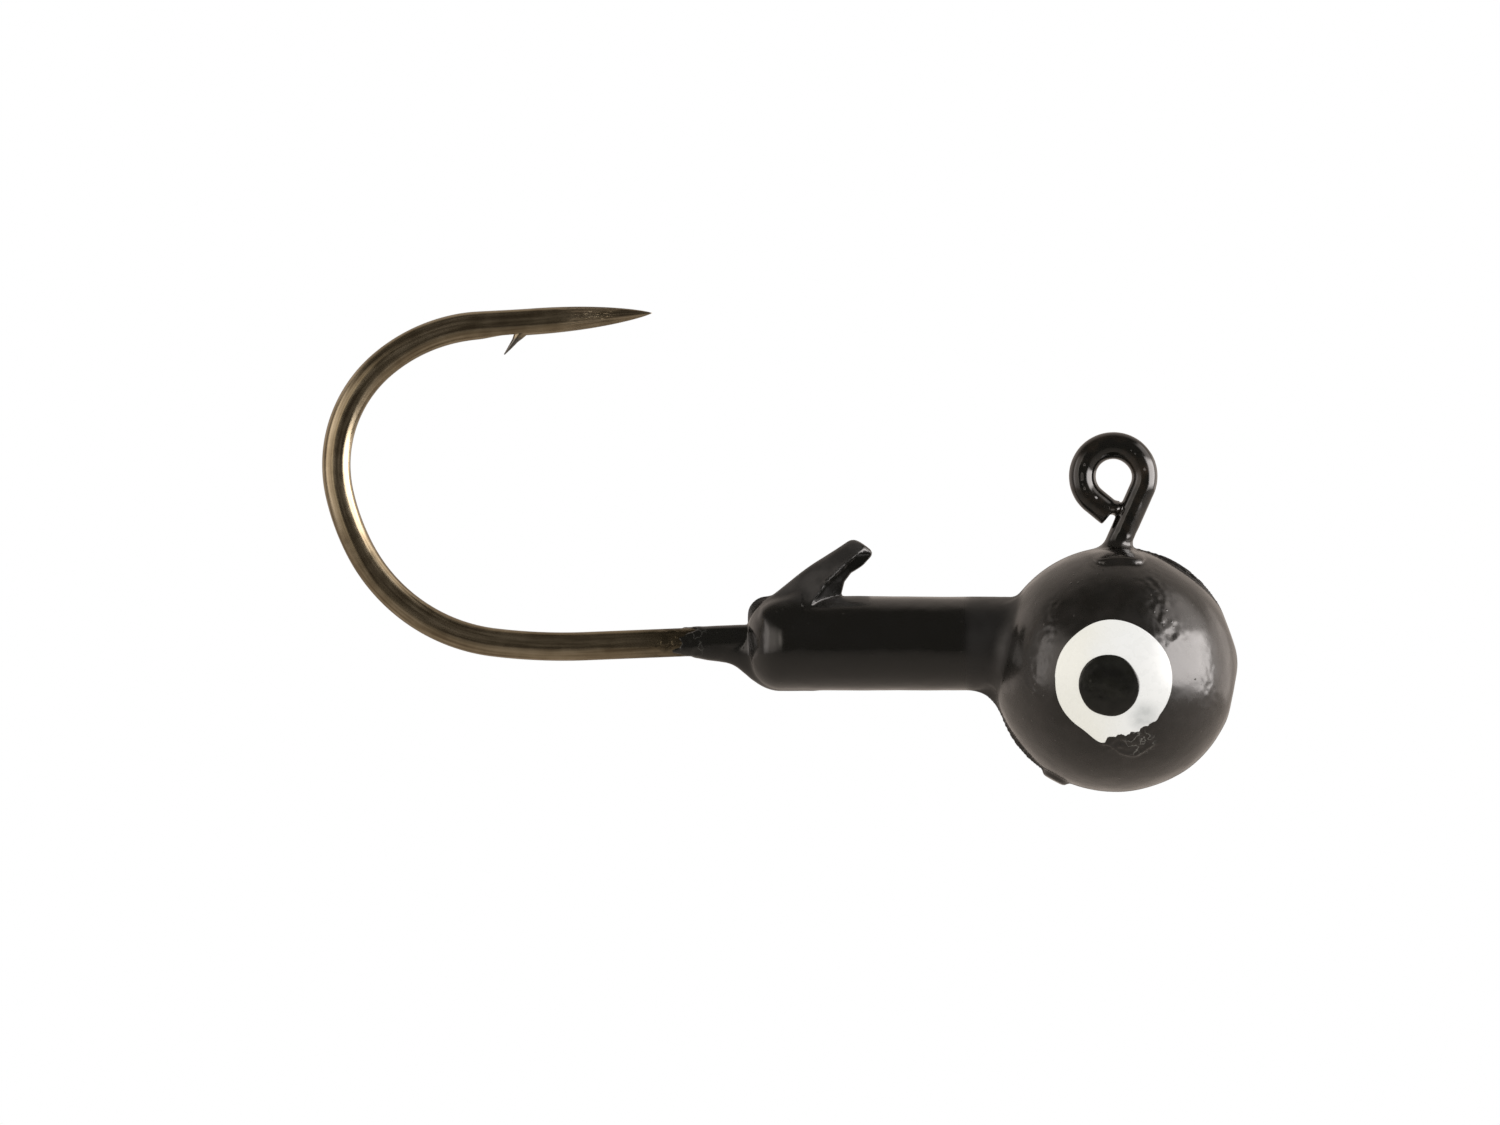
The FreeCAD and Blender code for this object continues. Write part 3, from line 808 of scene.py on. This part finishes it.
def enamel_colour(n, place, off_ball, lit_flanks, ring, dust):
    """Nearly black, with a grey haze painted on the ball and the keeper's flanks as painted light, brown
    on the line eye, light grey curls below the eye, and painted glints by the film's end.
    """
    clouds = n.product(n.maths("ADD", n.noise(place, 0.5, 2), n.noise(place, 1.6, 2)), 0.5)
    # Painted light and shade: the same enamel is lighter on the ball and darker on the collar, ring and
    # film. The clouds vary its tone at random.
    lit_ball_tone = n.ramp(clouds, (0.40, (0.0090, 0.0082, 0.0064)), (0.62, (0.0165, 0.0140, 0.0120)))
    colour = n.mix(n.maths("SUBTRACT", off_ball, lit_flanks), lit_ball_tone, (0.0064, 0.0062, 0.0050))
    patches = n.noise(place, 0.9, 4)
    # Painted light: the keeper's flanks are painted lighter still.
    flank_light = n.ramp(patches, (0.40, (0.0110, 0.0098, 0.0080)), (0.60, (0.0300, 0.0265, 0.0235)))
    colour = n.mix(lit_flanks, colour, flank_light)
    brown = n.ramp(n.noise(place, 1.1, 4), (0.45, 0.0), (0.75, 1.0))
    colour = n.mix(n.product(brown, ring), colour, (0.026, 0.017, 0.010))
    # Light grey curls below the eye, and painted glints in the same curls by the film's end.
    curls = n.ramp(n.noise(place, 1.5, 4), (0.482, 0.0), (0.5, 1.0), (0.518, 0.0))
    under_eye_curls = n.span(n.distance(place, BALL + UNDER_EYE), 0.85, 0.35)
    film_end_glints = n.product(n.span(n.axis(place, "X"), FILM_END + 1.45, FILM_END + 0.15), 0.4)
    colour = n.mix(n.product(curls, n.maths("ADD", under_eye_curls, film_end_glints)), colour, (0.16, 0.155, 0.14))
    return n.mix(n.product(dust, 0.6), colour, (0.050, 0.048, 0.044))


def enamel_material():
    """Gloss enamel, slick off the ball, and matt on the keeper's flanks and where collar meets ball."""
    n = Nodes(bpy.data.materials.new("black_enamel"))
    place = n.place()
    x, z = n.axis(place, "X"), n.axis(place, "Z")
    facing = n.axis(n.node("ShaderNodeNewGeometry").outputs["Normal"], "X")
    off_ball = n.span(n.distance(place, BALL), BALL_R + 0.1, BALL_R + 0.6)
    above = n.span(z, KEEPER_FOOT[1] - 0.52, KEEPER_FOOT[1] + 0.18)
    on_keeper = n.product(n.span(x, KEEPER_FRONT, KEEPER_FRONT - 0.3), above)
    # The keeper's flanks, painted lighter as painted light, and made matt.
    lit_flanks = n.product(on_keeper, n.span(facing, 0.35, 0.1))
    ring = n.span(z, -3.0, -2.0)
    dust = enamel_dust(n, place, off_ball, ring)
    colour = enamel_colour(n, place, off_ball, lit_flanks, ring, dust)
    corner = n.product(n.span(n.distance(place, (JOIN_X, 0.0, COLLAR_Z)), 2.55, 2.2), 0.8)
    matt = n.maths("MAXIMUM", lit_flanks, corner)
    slick = n.product(off_ball, n.span(facing, 0.3, 0.5, 0.10, 0.14))
    base = n.maths("SUBTRACT", n.span(n.noise(place, 1.2), 0.3, 0.7, 0.20, 0.34), slick)
    normal = n.bump(dust, 0.7, 0.03, n.bump(n.noise(place, 1.3, 2), 0.4, 0.04))
    dull = n.product(on_keeper, n.span(facing, 0.33, 0.40), n.span(z, -2.9, -3.4))
    coat_roughness = n.maths("ADD", n.span(ring, 0, 1, 0.14, 0.06), n.product(matt, 0.42))
    n.link(normal, n.shader.inputs["Coat Normal"])
    n.link(coat_roughness, n.shader.inputs["Coat Roughness"])
    n.link(n.span(dull, 0, 1, 0.6, 0.1), n.shader.inputs["Coat Weight"])
    n.link(n.span(dull, 0, 1, 0.5, 0.2), n.shader.inputs["Specular IOR Level"])
    roughness = n.maths("ADD", base, n.product(matt, 0.36))
    return n.finish(colour, roughness, normal, IOR=1.45, Coat_IOR=1.5)


def bronze_material():
    """Bronze lacquer on steel: streaks along the wire, a stained end by the film, a ground point."""
    n = Nodes(bpy.data.materials.new("bronze_lacquer"))
    place = n.place()
    x, z = n.axis(place, "X"), n.axis(place, "Z")
    along = n.node("ShaderNodeAttribute", attribute_name="along_wire").outputs["Vector"]
    stretch = n.node("ShaderNodeMapping")
    stretch.inputs["Scale"].default_value = (0.22, 3.0, 3.0)
    n.link(along, stretch.inputs["Vector"])
    lengthwise = stretch.outputs[0]
    streak = n.noise(lengthwise, 1.3, 2)
    mottle = n.noise(place, 1.7)
    both = n.maths("ADD", n.product(streak, 0.7), n.product(mottle, 0.3))
    dark, middle, light = (0.200, 0.156, 0.098), (0.300, 0.245, 0.160), (0.420, 0.352, 0.245)
    colour = n.ramp(both, (0.36, dark), (0.50, middle), (0.64, light))
    on_shank = n.span(z, -5.0, -6.0)
    blotches = n.ramp(mottle, (0.38, 0.5), (0.6, 1.0))
    stain = n.product(n.span(x, FILM_END - 2.95, FILM_END - 0.15), blotches, on_shank)
    colour = n.mix(stain, colour, (0.10, 0.082, 0.052))
    on_barb = n.span(n.axis(along, "Y"), -1.05, -1.25)
    colour = n.mix(on_barb, colour, (0.17, 0.16, 0.145))
    pits = n.product(n.noise(place, 3.4, 3), n.span(x, FILM_END - 1.75, FILM_END - 0.55), on_shank)
    taper = n.product(n.span(x, GROUND_FROM, GROUND_FROM + 1.0), n.span(x, GROUND_TO, GROUND_TO - 0.8))
    scores = n.product(n.noise(lengthwise, 3.2, 3), taper, n.span(z, 2.0, 3.0))
    normal = n.bump(scores, 0.9, 0.05, n.bump(pits, 0.8, 0.10, n.bump(streak, 0.12, 0.008)))
    return n.finish(colour, n.span(both, 0.35, 0.65, 0.14, 0.26), normal, Metallic=0.94)


def white_material():
    """White paint, yellower at the rear and thin in one spot."""
    n = Nodes(bpy.data.materials.new("white_eye_paint"))
    place = n.place()
    across = n.maths("ADD", n.axis(place, "X"), n.product(n.noise(place, 0.5, 2), 3.0))
    clean = n.mix(n.span(across, 0.0, 2.5), (0.845, 0.835, 0.775), (0.865, 0.870, 0.865))
    thin = n.product(n.span(n.distance(place, BALL + THIN_WHITE), 0.9, 0.2), n.noise(place, 3.0, 3))
    colour = n.mix(thin, clean, (0.42, 0.44, 0.44))
    roughness = n.span(n.noise(place, 3.0, 3), 0.3, 0.7, 0.22, 0.38)
    normal = n.bump(n.noise(place, 2.2, 3), 0.3, 0.02)
    return n.finish(colour, roughness, normal, IOR=1.5)


def pupil_material():
    """Black gloss paint with a soft wave in it."""
    n = Nodes(bpy.data.materials.new("black_eye_paint"))
    place = n.place()
    colour = n.ramp(n.noise(place, 1.4, 3), (0.35, (0.006, 0.006, 0.005)), (0.7, (0.013, 0.013, 0.010)))
    roughness = n.span(n.noise(place, 3.0, 3), 0.3, 0.7, 0.12, 0.26)
    normal = n.bump(n.noise(place, 1.1, 2), 0.7, 0.12)
    return n.finish(colour, roughness, normal, IOR=1.5)


def lead_material():
    """Bare cast lead."""
    n = Nodes(bpy.data.materials.new("cast_lead"))
    place = n.place()
    colour = n.ramp(n.noise(place, 1.5, 5, 0.6), (0.3, (0.16, 0.165, 0.175)), (0.7, (0.34, 0.345, 0.355)))
    roughness = n.span(n.noise(place, 3.0, 4), 0.3, 0.7, 0.38, 0.6)
    normal = n.bump(n.noise(place, 5.0, 4), 0.5, 0.03)
    return n.finish(colour, roughness, normal, Metallic=1.0)


# ---- The studio ---------------------------------------------------------------------------------

VIEW_WIDTH = 62.7  # millimetres across the picture
VIEW_CENTRE = np.array([-15.18, 0.0, -3.60])
CAMERA_DISTANCE = 1500.0
LIGHT_DISTANCE = 220.0
WARM = (1.0, 0.87, 0.77)
PALE = (0.86, 0.85, 0.83)
FLOOR_TONE = (0.44, 0.38, 0.335)  # what gloss sees of the floor
FLOOR_DROP = 48.0  # below the line eye
FLOOR_RADIUS = 190.0
FLOOR_SETBACK = 60.0  # of its centre, behind the jig
FULL_TONE_Y = -43.0  # on the floor, from its centre


def make_camera():
    """Far off to the right side, so that the picture is nearly square on."""
    data = bpy.data.cameras.new("camera")
    data.lens = data.sensor_width * CAMERA_DISTANCE / VIEW_WIDTH
    data.clip_start, data.clip_end = 0.01, 10.0
    camera = bpy.data.objects.new("camera", data)
    camera.location = Vector((VIEW_CENTRE + np.array([0, -CAMERA_DISTANCE, 0])) * MM)
    camera.rotation_euler = (math.radians(90), 0, 0)
    bpy.context.scene.collection.objects.link(camera)
    bpy.context.scene.camera = camera


def softbox(name, azimuth, elevation, width, height, radiance, colour, soft):
    """A soft-edged rectangular light aimed at the ball.

    Azimuth 0 is the camera's side and 90 the nose's. The width and height are degrees seen from the ball.
    """
    turn, rise = math.radians(azimuth), math.radians(elevation)
    level = math.cos(rise)
    away = Vector((math.sin(turn) * level, -math.cos(turn) * level, math.sin(rise)))
    data = bpy.data.lights.new(name, "AREA")
    data.shape = "RECTANGLE"
    data.size = 2 * LIGHT_DISTANCE * MM * math.tan(math.radians(width / 2))
    data.size_y = 2 * LIGHT_DISTANCE * MM * math.tan(math.radians(height / 2))
    data.energy = radiance * math.pi * data.size * data.size_y
    data.color = colour
    soften(data, soft)
    light = bpy.data.objects.new(name, data)
    light.location = Vector(BALL) * MM + away * LIGHT_DISTANCE * MM
    light.rotation_mode = "QUATERNION"
    light.rotation_quaternion = away.to_track_quat("Z", "Y")
    light.visible_camera = False
    light.visible_diffuse = False
    bpy.context.scene.collection.objects.link(light)


def soften(data, share):
    """Fades a light out over that share of its half width and half height."""
    n = Nodes(data)
    place = n.node("ShaderNodeNewGeometry").outputs["Parametric"]
    fades = []
    for name in "XY":
        aside = n.maths("ABSOLUTE", n.maths("SUBTRACT", n.axis(place, name), 0.5))
        fades.append(n.span(aside, 0.5, 0.5 * (1 - share)))
    n.link(n.product(*fades), n.tree.nodes["Emission"].inputs["Strength"])


def make_lights():
    """Soft boxes for the highlights only. The room lights the matt paint."""
    softbox("key_right", 72, 7, 72, 50, 7.8, (1.0, 0.945, 0.92), 0.45)
    softbox("key_right_top", 84, 38, 60, 44, 1.5, (1.0, 0.92, 0.87), 0.6)
    softbox("rim_right", 124, 0, 46, 60, 0.8, (1.0, 0.90, 0.84), 0.5)
    softbox("line_left", -35, 8, 14, 52, 1.5, (1.0, 0.92, 0.82), 0.9)
    softbox("step_left", -54, 7, 42, 60, 1.1, (1.0, 0.90, 0.82), 0.75)
    softbox("strip_left", -73, 8, 22, 60, 1.7, (1.0, 0.92, 0.87), 0.7)
    softbox("wall_left", -106, 8, 66, 66, 0.25, (1.0, 0.87, 0.80), 0.4)


def background(n, colour):
    made = n.node("ShaderNodeBackground")
    made.inputs["Color"].default_value = (*colour, 1)
    return made


def make_world():
    """White to the camera, an even pale room to matt paint, and to gloss dark in front and overhead."""
    world = bpy.data.worlds.new("studio")
    bpy.context.scene.world = world
    n = Nodes(world)
    n.tree.nodes.remove(n.tree.nodes["Background"])
    tent = background(n, (1.0, 0.99, 0.97))
    tent.inputs["Strength"].default_value = 1.06
    room = background(n, WARM)
    behind = n.axis(n.node("ShaderNodeTexCoord").outputs["Generated"], "Y")
    n.link(n.span(behind, -0.1, 0.45, 0.07, 0.50), room.inputs["Strength"])
    rays = n.node("ShaderNodeLightPath").outputs
    light = n.pick(rays["Is Diffuse Ray"], room.outputs[0], tent.outputs[0])
    seen = n.pick(rays["Is Camera Ray"], light, background(n, (1, 1, 1)).outputs[0])
    n.link(seen, n.tree.nodes["World Output"].inputs["Surface"])


def floor_material():
    """Pale. Gloss sees a warmer tone that fades towards the camera, and nothing sees it from below."""
    n = Nodes(bpy.data.materials.new("pale_floor"))
    n.shader.inputs["Roughness"].default_value = 0.8
    towards = n.axis(n.node("ShaderNodeTexCoord").outputs["Object"], "Y")
    tone = n.node("ShaderNodeVectorMath", operation="SCALE")
    tone.inputs[0].default_value = FLOOR_TONE
    fade = n.span(towards, -FLOOR_RADIUS * MM, FULL_TONE_Y * MM, 0.2, 1.0, kind="LINEAR")
    n.link(fade, tone.inputs["Scale"])
    glossy = n.node("ShaderNodeLightPath").outputs["Is Glossy Ray"]
    n.link(n.mix(glossy, PALE, tone.outputs[0]), n.shader.inputs["Base Color"])
    below = n.node("ShaderNodeNewGeometry").outputs["Backfacing"]
    clear = n.node("ShaderNodeBsdfTransparent").outputs[0]
    seen = n.pick(below, n.shader.outputs[0], clear)
    n.link(seen, n.tree.nodes["Material Output"].inputs["Surface"])
    return n.owner


def make_floor():
    """A pale round table under the jig, below the picture."""
    bm = bmesh.new()
    bmesh.ops.create_circle(bm, cap_ends=True, radius=FLOOR_RADIUS * MM, segments=128)
    mesh = bpy.data.meshes.new("floor")
    bm.to_mesh(mesh)
    bm.free()
    floor = bpy.data.objects.new("floor", mesh)
    floor.location = Vector((VIEW_CENTRE[0], FLOOR_SETBACK, -FLOOR_DROP)) * MM
    bpy.context.scene.collection.objects.link(floor)
    mesh.materials.append(floor_material())


make_camera()
make_hook()
make_enamel()
make_core()
make_eyes()
make_lights()
make_world()
make_floor()
bpy.context.scene.view_settings.view_transform = "Standard"
